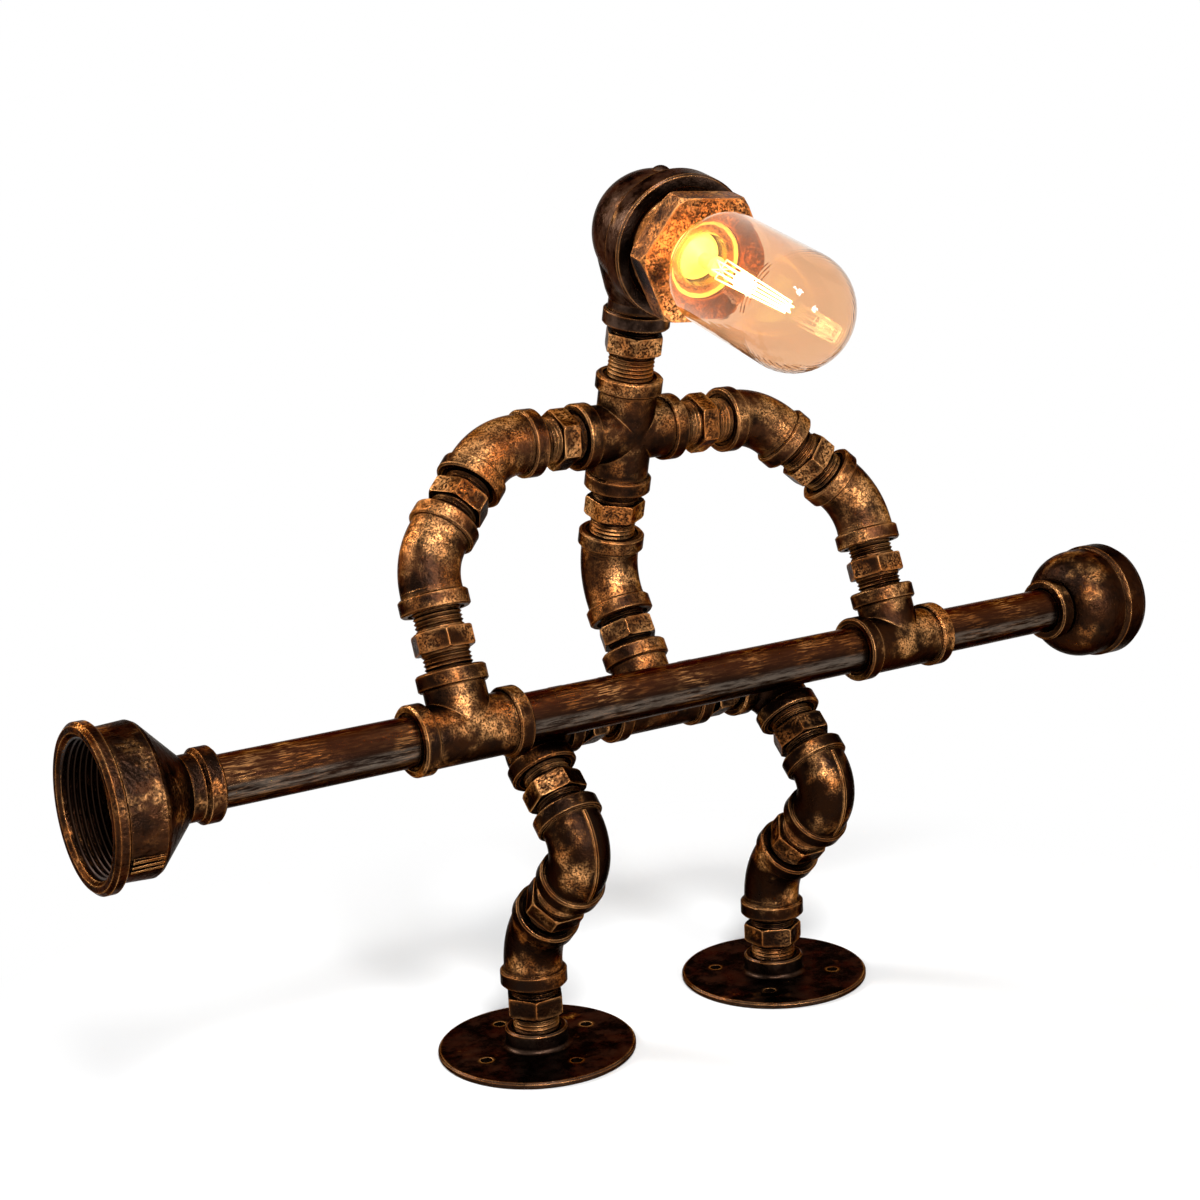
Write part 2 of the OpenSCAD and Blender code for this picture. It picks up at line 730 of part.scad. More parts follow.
// Bell reducer: round bowl, groove and band, with a wide mouth
module rear_bell() {
    bowl_end = bell_neck + bell_bowl;
    band_z = bell_len - bell_band_w;
    color(IRON) on_barrel(RIGHT, bell_x) rotate_extrude()
        polygon(concat(
            port_outline,
            bowl(body_r, bell_r, bell_neck, bowl_end),
            [[bell_r, band_z - 2 * bell_groove], [bell_r - bell_groove, band_z - bell_groove],
             [bell_band_r - edge, band_z], [bell_band_r, band_z + edge],
             [bell_band_r, bell_len - 2 * mouth_chamfer],
             [bell_band_r - mouth_chamfer, bell_len],
             [bell_mouth_r + mouth_chamfer, bell_len],
             [bell_mouth_r, bell_len - mouth_chamfer]],
            flip(bowl(core_r, bell_mouth_r, bell_neck + 2 * bell_wall, bowl_end))));
}

// Quarter curve from radius r0 at z0, leaving straight outwards, to radius r1 at z1
function bowl(r0, r1, z0, z1, steps = 12) =
    [for (i = [0:steps]) let (a = 90 * i / steps)
        [r0 + (r1 - r0) * sin(a), z1 - (z1 - z0) * cos(a)]];

// ---- Head ----

// Dome at the back and straight wall up to the front, as a solid of radius r
module dome_and_wall(r, front) {
    rotate_extrude() {
        intersection() {
            translate([0, dome_z]) circle(r = r);
            translate([0, dome_z - r]) square([r, r]);
        }
        translate([0, dome_z]) square([r, front - dome_z]);
    }
}

module head_elbow() {
    flare_end = head_drop - band_w;
    color(IRON) difference() {
        union() {
            at_face() {
                dome_and_wall(head_r, head_reach - edge);
                translate([0, 0, head_reach - head_band_w]) rotate_extrude()
                    polygon([[head_r - overlap, 0], [head_band_r - 2 * edge, 0],
                             [head_band_r, 2 * edge], [head_band_r, head_band_w - edge],
                             [head_band_r - edge, head_band_w],
                             [head_r - overlap, head_band_w]]);
            }
            in_head() rotate([180, 0, 0]) {
                branch(head_drop, neck_flare_z);
                rotate_extrude()
                    polygon([[0, neck_flare_z], [neck_flare_r, neck_flare_z],
                             [neck_flare_r - neck_flare_w, neck_flare_z + neck_flare_h],
                             [body_r + neck_root_w, flare_end - neck_root_z],
                             [body_r - overlap, flare_end - neck_root_w],
                             [0, flare_end - neck_root_w]]);
            }
            at_face() translate([0, head_r - nub_r + nub_h, dome_z]) sphere(r = nub_r);
        }
        at_face() {
            dome_and_wall(head_r - head_wall, bush_back);
            translate([0, 0, bush_back - cut])
                cylinder(h = bush_grip + 2 * cut, r = bush_thread_r + thread_fit);
        }
        in_head() rotate([180, 0, 0]) branch_bore(head_drop);
    }
}

// Hexagon bushing that closes the front of the head down to the holder
module head_bushing() {
    hole_r = holder_r + holder_fit;
    hex_z = head_reach + bush_thread_show;
    color(WORN) at_face() {
        rotate_extrude()
            polygon(concat(
                [[hole_r, bush_back], [bush_thread_r - end_chamfer, bush_back],
                 [bush_thread_r, bush_back + end_chamfer]],
                rings(head_reach - mouth, hex_z, bush_thread_r, bush_thread_depth, bush_pitch),
                [[bush_thread_r, bush_front - overlap], [hole_r, bush_front - overlap]]));
        translate([0, 0, hex_z]) hexagon(bush_af, bush_hex_t, hole_r);
    }
}

// Ceramic holder: its flange seats on the back of the bushing
module lamp_holder() {
    color(CERAMIC) at_face() difference() {
        union() {
            translate([0, 0, holder_back]) cylinder(h = holder_front - holder_back, r = holder_r);
            translate([0, 0, holder_back]) cylinder(h = holder_flange_t, r = holder_flange_r);
            translate([0, 0, holder_back - terminal_h])
                cylinder(h = terminal_h + overlap, r = terminal_r);
        }
        translate([0, 0, well_z])
            cylinder(h = holder_front - well_z + cut, r = shell_outer_r);
    }
}

// Threaded metal shell inside the holder
module screw_shell() {
    color(BRASS) at_face() rotate_extrude()
        polygon(concat(
            [[shell_outer_r, cap_back], [shell_outer_r, cap_front]],
            flip(rings(cap_back, cap_front, shell_r, -cap_groove, cap_pitch))));
}

// Tongue at the bottom of the holder that the bulb's tip rests on
module centre_contact() {
    color(BRASS) at_face() translate([0, 0, well_z]) cylinder(h = spring_h, r = contact_r);
}

// Wires from the neck to the back of the holder
module head_lead() {
    lead_front = holder_back - terminal_h;
    lead_bottom = head_drop - thread_grip - seat_gap;
    color(RUBBER) in_head() {
        translate([0, head_lead_bend - lead_front, 0]) rotate([0, 0, -90]) {
            translate([0, 0, -lead_bottom])
                cylinder(h = lead_bottom - head_lead_bend + bend_lap, r = lead_r);
            translate([0, 0, -head_lead_bend]) bend(lead_r - bend_step, head_lead_bend, 90);
        }
    }
}

// ---- Bulb ----

module bulb_cap() {
    color(BRASS) at_face() rotate_extrude()
        polygon(concat(
            [[cap_r - cap_groove - cap_wall, cap_back]],
            rings(cap_back, cap_front, cap_r, cap_groove, cap_pitch),
            [[cap_r - cap_groove - cap_wall, cap_front]]));
}

module cap_insulator() {
    color(RUBBER) at_face() translate([0, 0, cap_back - insulator_h])
        cylinder(h = insulator_h, r1 = contact_r + 2, r2 = cap_r - cap_groove);
}

module cap_contact() {
    color(BRASS) at_face() translate([0, 0, contact_z]) cylinder(h = contact_h, r = contact_r);
}

// Outline of the bulb from its foot in the cap to its round end
function bulb_outline(inset) =
    let (r0 = glass_foot_r - inset, r1 = bulb_r - inset)
    let (z0 = bush_front - shoulder_back, steps = 14)
    concat([[r0, glass_foot]],
           [for (i = [0:steps]) let (a = 180 * i / steps)
               [r0 + (r1 - r0) * (1 - cos(a)) / 2, z0 + shoulder_len * i / steps]],
           arc([0, bulb_end - bulb_r], r1, 0, 90, 18));

module bulb_glass() {
    color(GLASS) at_face() rotate_extrude()
        polygon(concat(bulb_outline(0), flip(bulb_outline(glass_t))));
}

// Glass stem that carries the filament, on a foot inside the cap
module bulb_stem() {
    cone_z = glass_foot + stem_foot_h;
    color(GLASS) at_face() rotate_extrude()
        polygon([[0, glass_foot], [stem_foot_r, glass_foot], [stem_foot_r, cone_z],
                 [stem_r, cone_z + stem_cone], [stem_r, stem_end - 2 * stem_rim],
                 [stem_r + stem_rim, stem_end], [stem_r, stem_end + 2 * stem_rim],
                 [0, stem_end + stem_tip]]);
}

// Cage of glowing wires, held by hooks at both ends of a thin support rod
module filament() {
    rod_foot = stem_end + stem_tip;
    start = rod_foot + 1;
    run = filament_end - start;
    slant = atan((filament_r - filament_tip_r) / run);
    color(GLOW) at_face() {
        translate([0, 0, rod_foot]) cylinder(h = filament_end - rod_foot, r = filament_wire_r);
        for (i = [0:filament_wires - 1]) {
            rotate([0, 0, i * 360 / filament_wires]) {
                translate([0, 0, start]) rotate([0, 90, 0])
                    cylinder(h = filament_r, r = filament_wire_r);
                translate([filament_r, 0, start]) rotate([0, -slant, 0])
                    cylinder(h = run / cos(slant), r = filament_wire_r);
                translate([0, 0, filament_end - filament_wire_r]) rotate([0, 90, 0])
                    cylinder(h = filament_tip_r, r = filament_wire_r);
            }
        }
    }
}

// ---- Assembly ----

flange(LEFT);  // left_flange
flange(RIGHT);  // right_flange
ankle_nipple(LEFT);  // left_ankle_nipple
ankle_nipple(RIGHT);  // right_ankle_nipple
shin_elbow(LEFT);  // left_shin_elbow
shin_elbow(RIGHT);  // right_shin_elbow
shin_nipple(LEFT);  // left_shin_nipple
shin_nipple(RIGHT);  // right_shin_nipple
knee_elbow(LEFT);  // left_knee_elbow
knee_elbow(RIGHT);  // right_knee_elbow
thigh_nipple(LEFT);  // left_thigh_nipple
thigh_nipple(RIGHT);  // right_thigh_nipple
hip_elbow(LEFT);  // left_hip_elbow
hip_elbow(RIGHT);  // right_hip_elbow
hip_nipple(LEFT);  // left_hip_nipple
hip_nipple(RIGHT);  // right_hip_nipple
shoulder_nipple(LEFT);  // left_shoulder_nipple
shoulder_nipple(RIGHT);  // right_shoulder_nipple
shoulder_elbow(LEFT);  // left_shoulder_elbow
shoulder_elbow(RIGHT);  // right_shoulder_elbow
upper_arm_nipple(LEFT);  // left_upper_arm_nipple
upper_arm_nipple(RIGHT);  // right_upper_arm_nipple
arm_elbow(LEFT);  // left_arm_elbow
arm_elbow(RIGHT);  // right_arm_elbow
forearm_nipple(LEFT);  // left_forearm_nipple
forearm_nipple(RIGHT);  // right_forearm_nipple
hand_tee(LEFT);  // left_hand_tee
hand_tee(RIGHT);  // right_hand_tee
hip_tee();
cord_grommet();
waist_nipple();
spine_elbow();
chest_nipple();
chest_cross();
neck_nipple();
front_pipe();
middle_pipe();
rear_pipe();
muzzle_reducer();
rear_bell();
head_elbow();
head_bushing();
lamp_holder();
screw_shell();
centre_contact();
torso_lead();
head_lead();
bulb_cap();
cap_insulator();
cap_contact();
bulb_glass();
bulb_stem();
filament();
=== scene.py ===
"""Looks of the pipe lamp: the camera, the studio, a material for every CAD node, and the
threads in the two mouths of the barrel. Lengths are in metres, in the frame of the CAD."""

import json
import math

import bmesh
import bpy
from mathutils import Matrix, Vector


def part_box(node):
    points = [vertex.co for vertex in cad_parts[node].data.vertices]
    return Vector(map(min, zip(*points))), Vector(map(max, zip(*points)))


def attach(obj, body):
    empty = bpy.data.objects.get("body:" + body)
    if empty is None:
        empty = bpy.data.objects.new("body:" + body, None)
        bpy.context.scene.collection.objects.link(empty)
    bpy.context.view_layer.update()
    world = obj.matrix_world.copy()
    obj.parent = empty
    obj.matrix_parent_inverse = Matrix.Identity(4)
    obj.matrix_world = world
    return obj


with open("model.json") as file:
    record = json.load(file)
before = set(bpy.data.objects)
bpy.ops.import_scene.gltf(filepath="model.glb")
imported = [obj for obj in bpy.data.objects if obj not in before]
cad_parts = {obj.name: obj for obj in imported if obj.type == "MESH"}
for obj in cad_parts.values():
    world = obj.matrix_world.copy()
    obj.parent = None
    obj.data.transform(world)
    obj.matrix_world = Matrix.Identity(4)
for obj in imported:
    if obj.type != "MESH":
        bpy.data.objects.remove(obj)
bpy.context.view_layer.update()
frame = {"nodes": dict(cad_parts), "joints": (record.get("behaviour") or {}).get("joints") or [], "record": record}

NODES = frame["nodes"]


def link_object(name, data):
    new = bpy.data.objects.new(name, data)
    bpy.context.collection.objects.link(new)
    return new


# ---- Camera ----

# Fitted to the pipe fittings of the photograph
CAMERA_PLACE = Vector((-0.52277, -0.69276, 0.37893))
CAMERA_TURN = (33.9001, -11.2100, -2.5079)      # yaw, pitch and roll in degrees
SENSOR_MM = 36
LENS_MM = 61.82
NEAREST = 0.01                         # what is nearer to the camera isn't seen


def make_camera():
    yaw, pitch, roll = (math.radians(angle) for angle in CAMERA_TURN)
    forward = Vector((math.sin(yaw) * math.cos(pitch), math.cos(yaw) * math.cos(pitch),
                      math.sin(pitch)))
    level = Vector((math.cos(yaw), -math.sin(yaw), 0))
    upright = level.cross(forward)
    right = level * math.cos(roll) + upright * math.sin(roll)
    up = upright * math.cos(roll) - level * math.sin(roll)
    data = bpy.data.cameras.new("camera")
    data.sensor_width = SENSOR_MM
    data.lens = LENS_MM
    data.clip_start = NEAREST
    camera = link_object("camera", data)
    axes = Matrix((right, up, -forward)).transposed().to_4x4()
    camera.matrix_world = Matrix.Translation(CAMERA_PLACE) @ axes
    bpy.context.scene.camera = camera


# ---- Node helpers ----

MIX_A, MIX_B, MIX_RESULT = 6, 7, 2     # the colour sockets of a Mix node
FINE = 6                               # samples of the nodes that look round a point


class Shader:
    """A new node material, with short calls for the nodes that are used here.

    A noise's scale is in cells per metre, or per unit of the vector that it is given. A
    ramp goes from bottom to top while its value goes from low to high."""

    def __init__(self, name):
        self.material = bpy.data.materials.new(name)
        self.material.use_nodes = True
        self.tree = self.material.node_tree
        self.surface = self.tree.nodes["Principled BSDF"]
        self.output = self.tree.nodes["Material Output"].inputs["Surface"]
        coordinates = self.new("TexCoord")
        self.where = coordinates.outputs["Object"]
        self.own_normal = coordinates.outputs["Normal"]

    def new(self, kind):
        return self.tree.nodes.new("ShaderNode" + kind)

    def link(self, source, socket):
        self.tree.links.new(source, socket)

    def put(self, value, socket):
        if isinstance(value, bpy.types.NodeSocket):
            self.link(value, socket)
        elif isinstance(value, tuple) and len(value) == 3 and socket.type == "RGBA":
            socket.default_value = (*value, 1)
        else:
            socket.default_value = value

    def math(self, operation, a, b):
        node = self.new("Math")
        node.operation = operation
        self.put(a, node.inputs[0])
        self.put(b, node.inputs[1])
        return node.outputs[0]

    def product(self, first, *others):
        for other in others:
            first = self.math("MULTIPLY", first, other)
        return first

    def dot(self, source, direction):
        node = self.new("VectorMath")
        node.operation = "DOT_PRODUCT"
        self.put(source, node.inputs[0])
        self.put(direction, node.inputs[1])
        return node.outputs["Value"]

    def mapped(self, **settings):
        """The place on the piece, changed by a Mapping node with these settings."""
        node = self.new("Mapping")
        for name, value in settings.items():
            node.inputs[name].default_value = value
        self.link(self.where, node.inputs["Vector"])
        return node.outputs[0]

    def noise(self, scale, detail=3.0, roughness=0.55, vector=None):
        node = self.new("TexNoise")
        node.inputs["Scale"].default_value = scale
        node.inputs["Detail"].default_value = detail
        node.inputs["Roughness"].default_value = roughness
        self.link(vector or self.where, node.inputs["Vector"])
        return node.outputs["Fac"]

    def ramp(self, value, low, high, bottom=0.0, top=1.0):
        node = self.new("MapRange")
        node.interpolation_type = "SMOOTHSTEP"
        for name, number in (("From Min", low), ("From Max", high),
                             ("To Min", bottom), ("To Max", top)):
            node.inputs[name].default_value = number
        self.link(value, node.inputs["Value"])
        return node.outputs[0]

    def mix(self, factor, a, b):
        """Colour a where the factor is 0 or less, and b where it is 1 or more."""
        node = self.new("Mix")
        node.data_type = "RGBA"
        self.put(factor, node.inputs["Factor"])
        self.put(a, node.inputs[MIX_A])
        self.put(b, node.inputs[MIX_B])
        return node.outputs[MIX_RESULT]

    def rounded(self, radius):
        """The surface normal with its edges rounded off."""
        node = self.new("Bevel")
        node.samples = FINE
        node.inputs["Radius"].default_value = radius
        return node.outputs[0]

    def edges(self, radius, low, high):
        """1 where the surface turns sharply within the radius, 0 where it is even."""
        flat = self.new("NewGeometry").outputs["Normal"]
        return self.ramp(self.dot(self.rounded(radius), flat), high, low)

    def facing(self, direction):
        """How far the surface of the piece, as it was made, faces the direction."""
        return self.dot(self.own_normal, direction)

    def open_sky(self, distance, low, high):
        """0 deep in a corner, 1 where nothing stands near."""
        node = self.new("AmbientOcclusion")
        node.samples = FINE
        node.inputs["Distance"].default_value = distance
        return self.ramp(node.outputs["AO"], low, high)

    def bump(self, height, distance, normal=None):
        node = self.new("Bump")
        node.inputs["Distance"].default_value = distance
        self.link(height, node.inputs["Height"])
        if normal:
            self.link(normal, node.inputs["Normal"])
        return node.outputs[0]

    def mix_shaders(self, factor, first, second):
        """The material shows the first shader at 0 and the second at 1."""
        node = self.new("MixShader")
        for source, socket in zip((factor, first, second), node.inputs):
            self.link(source, socket)
        self.link(node.outputs[0], self.output)

    def finish(self, **values):
        """The material, with these values of its surface. Base_Color stands for Base Color."""
        for name, value in values.items():
            self.put(value, self.surface.inputs[name.replace("_", " ")])
        return self.material


# ---- Metals ----

BLACK = (0.011, 0.0055, 0.0035)
BROWN = (0.075, 0.027, 0.011)
DULL = (0.066, 0.038, 0.026)
COPPER = (0.50, 0.170, 0.042)
GOLD = (0.80, 0.37, 0.130)
BRASS = (0.80, 0.60, 0.30)
EDGE_TINT = (0.36, 0.32, 0.29, 1)      # tint of the metals at a grazing angle
HIGHLIGHT_SIDE = (-0.42, -0.62, 0.66)        # the side toward the key light, rubbed most as painted highlight
SOFT_EDGE = 0.0005                     # radius that the edges are rounded off with
CORNER_REACH = 0.009                   # how near a surface stands that makes a corner of painted shade
RIM_WIDTH = 0.0032
LINE_WIDTH = 0.0009


def antique_iron(name, worn, grit, rims=None, tone=BROWN, lightness=1.0, golden=0.4,
                 grain=1300.0, seed=0.0, corners=1.0, metal=1.0, pits=0.9):
    """Dark lacquer over cast iron, rubbed to copper and gold on what stands out; the corners are blackened as
    painted shade, and more is rubbed on the side toward the key light as painted highlight.

    worn: how much of the surface is rubbed, hardly any below 0 and most of it at 1
    grit: how rough the casting is
    rims: what worn is for the rims, where that differs
    tone, lightness: colour of the lacquer, and what it is multiplied by
    golden: how much of what is rubbed is gold
    grain: how fine the specks are, in cells per metre
    seed: shifts the patches
    corners: how far out the painted shade, black in the corners, reaches
    metal: how metallic the surface is
    pits: how much lacquer stays between the specks"""
    s = Shader(name)
    s.where = s.mapped(Location=(seed, seed * 0.7, seed * 0.3))
    rims = worn if rims is None else rims
    # Open places 1, corners 0: the corners get painted shade and less rubbing
    unshaded_and_rubbable = s.open_sky(CORNER_REACH, 0.48 * corners, 0.88 * corners + 0.001)

    # Speckled rubbed patches, more of them on the side toward the key light as painted highlight
    wear_and_highlight = s.math("ADD", s.noise(44, 3, 0.6), s.product(s.facing(HIGHLIGHT_SIDE), 0.10))
    patches = s.ramp(wear_and_highlight, 0.62 - worn * 0.20, 0.84 - worn * 0.16)
    specks = s.ramp(s.noise(grain, 3, 0.62), 0.42, 0.56, 1.0 - pits, 1.0)
    mottle = s.ramp(s.noise(330, 4, 0.65), 0.38, 0.56, 0.25, 1.0)
    spots = s.product(patches, specks, mottle)

    # Rims, and a fine line along every edge
    band = s.product(s.edges(RIM_WIDTH, 0.80, 0.97),
                     s.ramp(s.noise(90, 4, 0.6), 0.34, 0.62, 0.25 * rims, 0.04 + 0.75 * rims))
    line = s.product(s.edges(LINE_WIDTH, 0.88, 0.98),
                     s.ramp(s.noise(130), 0.30, 0.60, 0.35, 1.0))
    rubbed = s.product(s.math("MAXIMUM", s.math("MAXIMUM", spots, band), line), unshaded_and_rubbable)

    lacquer = tuple(c * lightness for c in tone)
    base = s.mix(s.ramp(s.noise(70, 4, 0.7), 0.36, 0.66), BLACK, lacquer)
    # Painted shade: the base turns black in the corners
    base = s.mix(unshaded_and_rubbable, BLACK, base)
    copper = s.ramp(s.noise(60), 0.30 + golden * 0.2, 0.54 + golden * 0.2)
    bright = s.mix(copper, GOLD, COPPER)

    casting = s.bump(s.noise(260, 4, 0.6), 0.0004 * grit, s.rounded(SOFT_EDGE))
    return s.finish(Base_Color=s.mix(rubbed, base, bright), Metallic=metal,
                    Specular_Tint=EDGE_TINT, Specular_IOR_Level=0.1,
                    Roughness=s.ramp(s.noise(90), 0.3, 0.7, 0.25, 0.38),
                    Normal=s.bump(s.noise(grain, 3, 0.6), 0.00016 * grit, casting))


def lacquered_pipe(name):
    """Glossy dark pipe with copper flecks along it; a painted reddish sheen and more flecks on top, and a painted
    grey reflection streak in front.
    """
    s = Shader(name)
    # Masks of the painted top sheen and of the painted reflection streak in front
    painted_top_sheen = s.ramp(s.facing((0.0, -0.3, 0.954)), 0.25, 0.98)
    painted_reflection_side = s.ramp(s.facing((0.0, -0.98, -0.20)), 0.94, 0.995)
    along = s.mapped(Scale=(60, 620, 620))

    streaks = s.ramp(s.noise(1, 4, 0.65, along), 0.46, 0.66)
    flecks = s.ramp(s.noise(2.2, 3, 0.6, along), 0.52, 0.62)
    blotch = s.ramp(s.noise(38, 3, 0.6), 0.38, 0.62, 0.10, 1.0)
    rubbed = s.math("ADD", s.product(streaks, 0.22), s.product(flecks, 0.6))
    # More flecks on top, partly painted sheen
    rubbed = s.product(rubbed, blotch, s.math("ADD", s.product(painted_top_sheen, 0.80), 0.20))
    rubbed = s.math("ADD", rubbed, s.product(s.edges(0.0012, 0.90, 0.985), 0.6))

    # Painted sheen: reddish on top; painted reflection: a grey streak along the front
    top_sheen_tint = s.product(painted_top_sheen, 0.3)
    painted_reflection_streak = s.product(painted_reflection_side, s.ramp(s.noise(1.1, 4, 0.7, along), 0.36, 0.62), 0.34)
    base = s.mix(s.ramp(s.noise(60, 4), 0.35, 0.7), BLACK, (0.018, 0.008, 0.005))
    base = s.mix(top_sheen_tint, base, (0.13, 0.034, 0.012))
    base = s.mix(painted_reflection_streak, base, (0.30, 0.24, 0.19))
    bright = s.mix(s.ramp(s.noise(35), 0.4, 0.65), COPPER, GOLD)
    return s.finish(Base_Color=s.mix(rubbed, base, bright), Metallic=1.0,
                    Specular_Tint=EDGE_TINT,
                    Roughness=s.ramp(s.noise(80), 0.3, 0.7, 0.20, 0.32),
                    Normal=s.bump(s.noise(1.4, 4, 0.6, along), 0.00024, s.rounded(SOFT_EDGE)))


def plain(name, colour, roughness, metallic=0.0, height=0.00005):
    """Even material with a little colour variation and a fine surface."""
    s = Shader(name)
    darker = tuple(c * 0.88 for c in colour)
    return s.finish(Base_Color=s.mix(s.noise(100), darker, colour), Metallic=metallic,
                    Roughness=s.ramp(s.noise(200, 2), 0.3, 0.7, roughness * 0.85,
                                     roughness * 1.15),
                    Normal=s.bump(s.noise(600), height))


# ---- The lit bulb ----

def bulb_line():
    """The middle of the head, which is on the bulb's axis, and the way out of the head."""
    for joint in frame["joints"]:
        if joint["name"] == "bulb_turn":
            return Vector(joint["pos_m"]), Vector(joint["axis"]).normalized()


HEAD, OUT_OF_HEAD = bulb_line()

# Distances from the middle of the head along the bulb
VEIL_START, VEIL_END = 0.055, 0.115
GLOW_START, FULL_GLOW = 0.066, 0.082
LIGHT_CENTRE = 0.085


def from_head(s):
    """Distance from the middle of the head along the bulb, as a socket."""
    return s.math("SUBTRACT", s.dot(s.where, OUT_OF_HEAD), HEAD.dot(OUT_OF_HEAD))


def glowing_glass(name):
    """Clear glass that carries a warm veil of the filament's light and casts no shadow."""
    s = Shader(name)
    near = s.ramp(from_head(s), VEIL_START, VEIL_END, 1.0, 0.0)
    s.finish(Base_Color=(0.86, 0.645, 0.475), Transmission_Weight=1.0, IOR=1.22,
             Roughness=0.012, Emission_Color=s.mix(near, (1.0, 0.50, 0.26), (1.0, 0.40, 0.05)),
             Emission_Strength=s.ramp(near, 0.0, 1.0, 0.02, 0.075))
    s.mix_shaders(s.new("LightPath").outputs["Is Shadow Ray"], s.surface.outputs[0],
                  s.new("BsdfTransparent").outputs[0])
    return s.material


def painted_glow(name, colour, strength):
    """Painted light: a part that is no lamp shines with the filament's light, a little unevenly over the surface.
    """
    s = Shader(name)
    return s.finish(Base_Color=colour, Emission_Color=colour,
                    Emission_Strength=s.ramp(s.noise(220, 2), 0.3, 0.7, strength * 0.7,
                                             strength * 1.2))


def filament_glow(name, colour, strength):
    """Glow that grows from the stem outwards."""
    s = Shader(name)
    return s.finish(Base_Color=colour, Emission_Color=colour,
                    Emission_Strength=s.ramp(from_head(s), GLOW_START, FULL_GLOW,
                                             0.15 * strength, strength))


def light_bulb():
    """The filament's light on what stands round it. It rides on the bulb."""
    data = bpy.data.lights.new("filament_light", "POINT")
    data.energy = 0.10
    data.color = (1.0, 0.72, 0.36)
    data.shadow_soft_size = 0.004
    light = link_object("filament_light", data)
    light.location = HEAD + OUT_OF_HEAD * LIGHT_CENTRE
    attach(light, "bulb")


# ---- Studio ----

WHITE = (1, 1, 1, 1)
FLOOR_WIDTH = 12
FADE_START, FADE_END = 0.15, 0.38      # distances from the middle of the floor
EVEN_LIGHT = 0.30                      # strength of the world's light
AIM = Vector((0, 0, 0.2))
LAMPS = (                              # name, place, width, and power in watts
    ("key", (-0.50, -1.0, 1.15), 0.28, 22),
    ("fill", (-0.05, -1.25, 0.42), 0.20, 9),
    ("rim", (-0.9, 0.9, 1.0), 0.50, 14),
)


def area_light(name, place, width, power):
    data = bpy.data.lights.new(name, "AREA")
    data.size = width
    data.energy = power
    light = link_object(name, data)
    light.location = place
    light.rotation_euler = (AIM - Vector(place)).to_track_quat("-Z", "Y").to_euler()


def sees_backdrop(tree):
    """1 for camera, mirrored and refracted rays, which see the backdrop as plain white."""
    path = tree.nodes.new("ShaderNodeLightPath")
    seen = path.outputs["Is Camera Ray"]
    for ray in ("Is Glossy Ray", "Is Transmission Ray"):
        node = tree.nodes.new("ShaderNodeMath")
        node.operation = "MAXIMUM"
        tree.links.new(seen, node.inputs[0])
        tree.links.new(path.outputs[ray], node.inputs[1])
        seen = node.outputs[0]
    return seen


def make_floor():
    """Pale floor that runs out into the white backdrop."""
    bpy.ops.mesh.primitive_plane_add(size=FLOOR_WIDTH)
    floor = bpy.context.object
    floor.name = "floor"
    s = Shader("floor")
    floor.data.materials.append(s.finish(Base_Color=(0.90, 0.90, 0.90), Roughness=0.9))
    distance = s.new("VectorMath")
    distance.operation = "LENGTH"
    s.link(s.where, distance.inputs[0])
    far = s.ramp(distance.outputs["Value"], FADE_START, FADE_END)
    s.mix_shaders(s.product(far, sees_backdrop(s.tree)), s.surface.outputs[0],
                  s.new("Emission").outputs[0])


def make_backdrop():
    """World that gives a weak even light and is seen as white."""
    world = bpy.data.worlds.new("studio")
    bpy.context.scene.world = world
    world.use_nodes = True
    tree = world.node_tree
    even = tree.nodes["Background"]
    even.inputs["Strength"].default_value = EVEN_LIGHT
    plain_white = tree.nodes.new("ShaderNodeBackground")
    for background in (even, plain_white):
        background.inputs["Color"].default_value = WHITE
    both = tree.nodes.new("ShaderNodeMixShader")
    sources = (sees_backdrop(tree), even.outputs[0], plain_white.outputs[0])
    for source, socket in zip(sources, both.inputs):
        tree.links.new(source, socket)
    tree.links.new(both.outputs[0], tree.nodes["World Output"].inputs["Surface"])


def make_studio():
    bpy.context.scene.view_settings.view_transform = "Standard"
    make_floor()
    make_backdrop()
    for lamp in LAMPS:
        area_light(*lamp)


# ---- Materials on the nodes ----

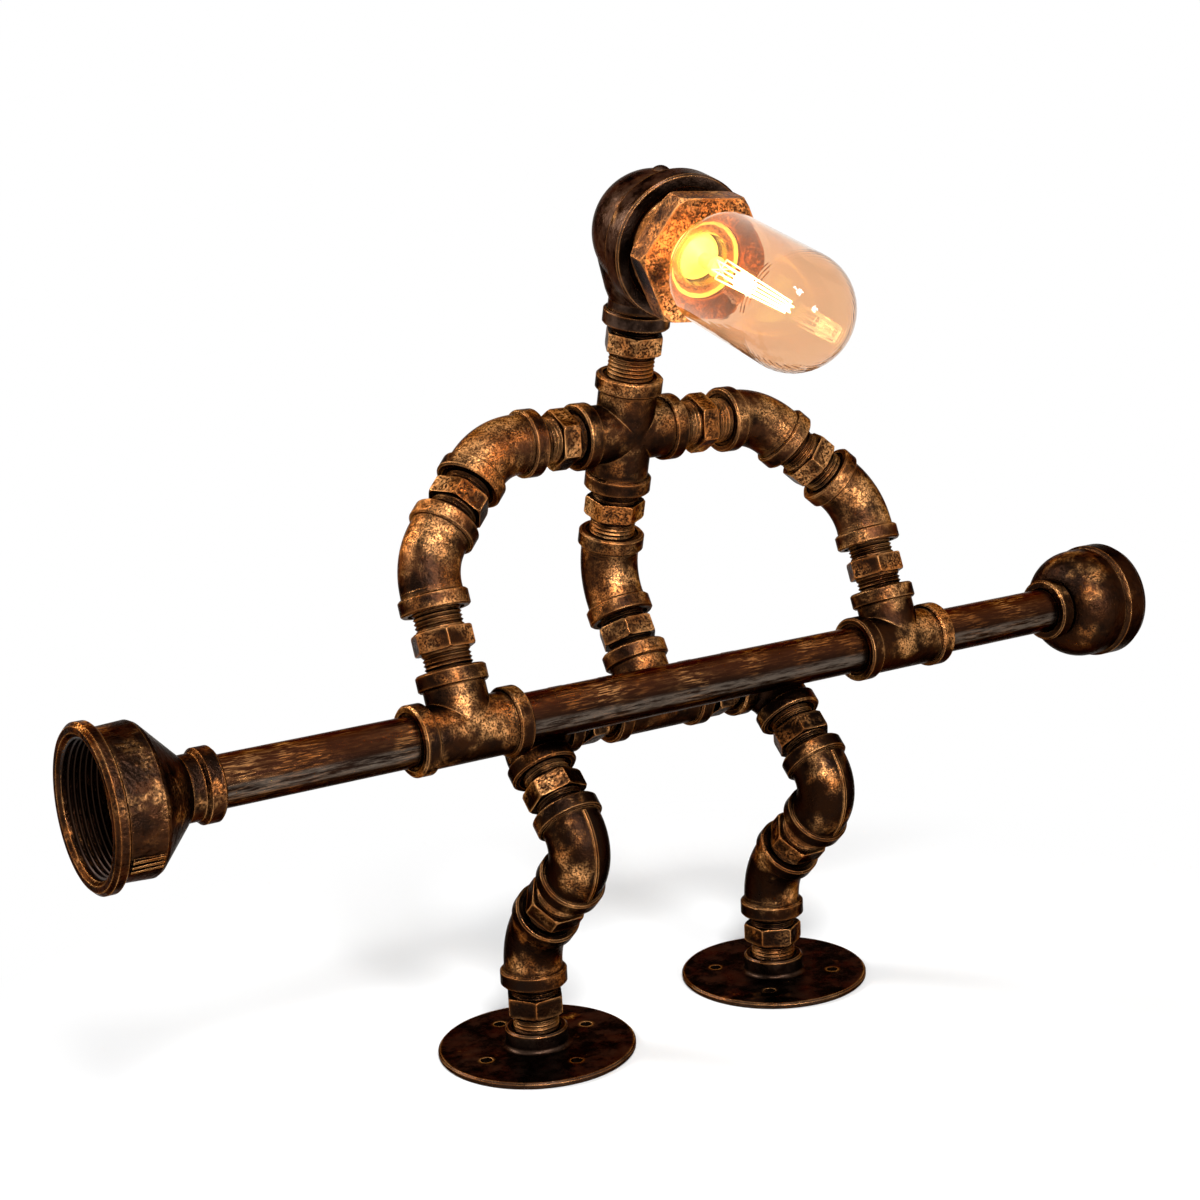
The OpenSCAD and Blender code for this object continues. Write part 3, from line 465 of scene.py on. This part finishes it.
def dress():
    """A material for each body's castings, each kind of fitting, and each other node."""
    of_body = {
        "legs": antique_iron("iron_legs", worn=0.30, rims=0.2, grit=1.2, lightness=0.21,
                             seed=3.1),
        "torso": antique_iron("iron_torso", worn=0.58, grit=1.4, lightness=0.5, seed=1.7),
        "arms": antique_iron("iron_arms", worn=0.74, grit=1.4, lightness=0.9),
        "head": antique_iron("iron_head", worn=-0.20, rims=0.35, grit=0.8, tone=DULL,
                             lightness=1.25, seed=2.3),
    }
    nipple = antique_iron("nipple", worn=1.05, rims=0.80, grit=1.4, lightness=0.45,
                          golden=0.3, grain=950, seed=4.2, pits=1.0)
    leg_nipple = antique_iron("leg_nipple", worn=0.48, rims=0.42, grit=1.4, lightness=0.22,
                              golden=0.3, grain=950, seed=1.2, pits=1.0)
    of_kind = {
        "_flange": antique_iron("flange", worn=-0.40, rims=0.40, grit=0.5, tone=DULL,
                                lightness=0.75, seed=8.8),
        "_hand_tee": antique_iron("tee", worn=0.46, grit=1.0, lightness=0.36, seed=9.4),
        "_pipe": lacquered_pipe("pipe"),
    }
    of_node = {
        "muzzle_reducer": antique_iron("muzzle", worn=0.14, rims=0.30, grit=2.4,
                                       lightness=0.66, grain=800, seed=5.5),
        "rear_bell": antique_iron("bell", worn=0.24, grit=1.4, lightness=0.38, seed=6.6),
        "head_bushing": antique_iron("bushing", worn=1.2, grit=1.4, golden=0.2, grain=1000,
                                     seed=7.2, corners=0.0, metal=0.65, pits=1.0),
        # The holder and the stem shine with painted filament light; they are no lamps
        "lamp_holder": painted_glow("ceramic", (0.80, 0.72, 0.20), 0.5),
        "screw_shell": plain("shell", BRASS, 0.3, 1.0),
        "centre_contact": plain("tongue", BRASS, 0.35, 1.0),
        "bulb_cap": plain("cap", (0.82, 0.66, 0.36), 0.28, 1.0),
        "cap_contact": plain("solder", (0.62, 0.60, 0.58), 0.4, 1.0),
        "cap_insulator": plain("black_glass", (0.02, 0.02, 0.02), 0.15),
        "cord_grommet": plain("rubber", (0.03, 0.03, 0.03), 0.6, height=0.0001),
        "torso_lead": plain("sheath", (0.03, 0.03, 0.03), 0.5),
        "head_lead": plain("sheath_head", (0.03, 0.03, 0.03), 0.5),
        "bulb_glass": glowing_glass("glass"),
        "bulb_stem": painted_glow("stem", (0.80, 0.90, 0.18), 0.9),
        "filament": filament_glow("filament", (1.0, 0.74, 0.36), 14),
    }
    for body, names in frame["record"]["behaviour"]["bodies"].items():
        kinds = {**of_kind, "_nipple": leg_nipple if body == "legs" else nipple}
        for name in names:
            alike = [kinds[ending] for ending in kinds if name.endswith(ending)]
            material = of_node.get(name) or (alike[0] if alike else of_body[body])
            mesh = NODES[name].data
            mesh.materials.clear()
            mesh.materials.append(material)


# ---- Threads in the mouths of the barrel ----

THREAD_PITCH = 0.002309
TURN_STEPS = 72                        # steps in each turn
THREAD_START = 0.0020                  # behind the face of the mouth
RUN_OUT = 20                           # steps over which the ridge fades at both ends
RIDGE_HEIGHT = 0.0011
SUNK = 0.0003                          # how deep the ridge's foot sits in the wall
HALF_FOOT, HALF_CREST = 0.42, 0.06     # half the ridge's widths, in pitches


def mouth_thread(name, node, material, outwards, radius, depth):
    """Ridge that winds along the bore of the node, whose mouth faces +X where outwards is
    1 and -X where it is -1."""
    low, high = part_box(node)
    mouth = low[0] if outwards < 0 else high[0]
    pipe_low, pipe_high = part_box("front_pipe")
    y, z = ((pipe_low[i] + pipe_high[i]) / 2 for i in (1, 2))
    steps = int(depth / THREAD_PITCH * TURN_STEPS)
    mesh = bmesh.new()
    rows = []
    for i in range(steps + 1):
        angle = 2 * math.pi * i / TURN_STEPS
        inwards = THREAD_START + THREAD_PITCH * i / TURN_STEPS
        height = RIDGE_HEIGHT * min(1.0, i / RUN_OUT, (steps - i) / RUN_OUT)
        row = []
        for side, rise in ((-HALF_FOOT, -SUNK), (-HALF_CREST, height),
                           (HALF_CREST, height), (HALF_FOOT, -SUNK)):
            x = mouth - outwards * (inwards + side * THREAD_PITCH)
            r = radius - rise
            row.append(mesh.verts.new((x, y + r * math.cos(angle), z + r * math.sin(angle))))
        rows.append(row)
    corners = len(rows[0])
    for a, b in zip(rows, rows[1:]):
        for k in range(corners):
            after = (k + 1) % corners
            face = mesh.faces.new((a[k], a[after], b[after], b[k]))
            face.smooth = True
    mesh.faces.new(rows[0])
    mesh.faces.new(reversed(rows[-1]))
    bmesh.ops.recalc_face_normals(mesh, faces=mesh.faces)
    data = bpy.data.meshes.new(name)
    mesh.to_mesh(data)
    data.materials.append(material)
    piece = link_object(name, data)
    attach(piece, "arms")


def make_threads():
    bore = plain("bore", (0.024, 0.012, 0.007), 0.45, 1.0)
    mouth_thread("muzzle_thread", "muzzle_reducer", bore, outwards=-1, radius=0.0273,
                 depth=0.0155)
    mouth_thread("bell_thread", "rear_bell", bore, outwards=1, radius=0.0230, depth=0.0135)


make_camera()
make_studio()
light_bulb()
dress()
make_threads()
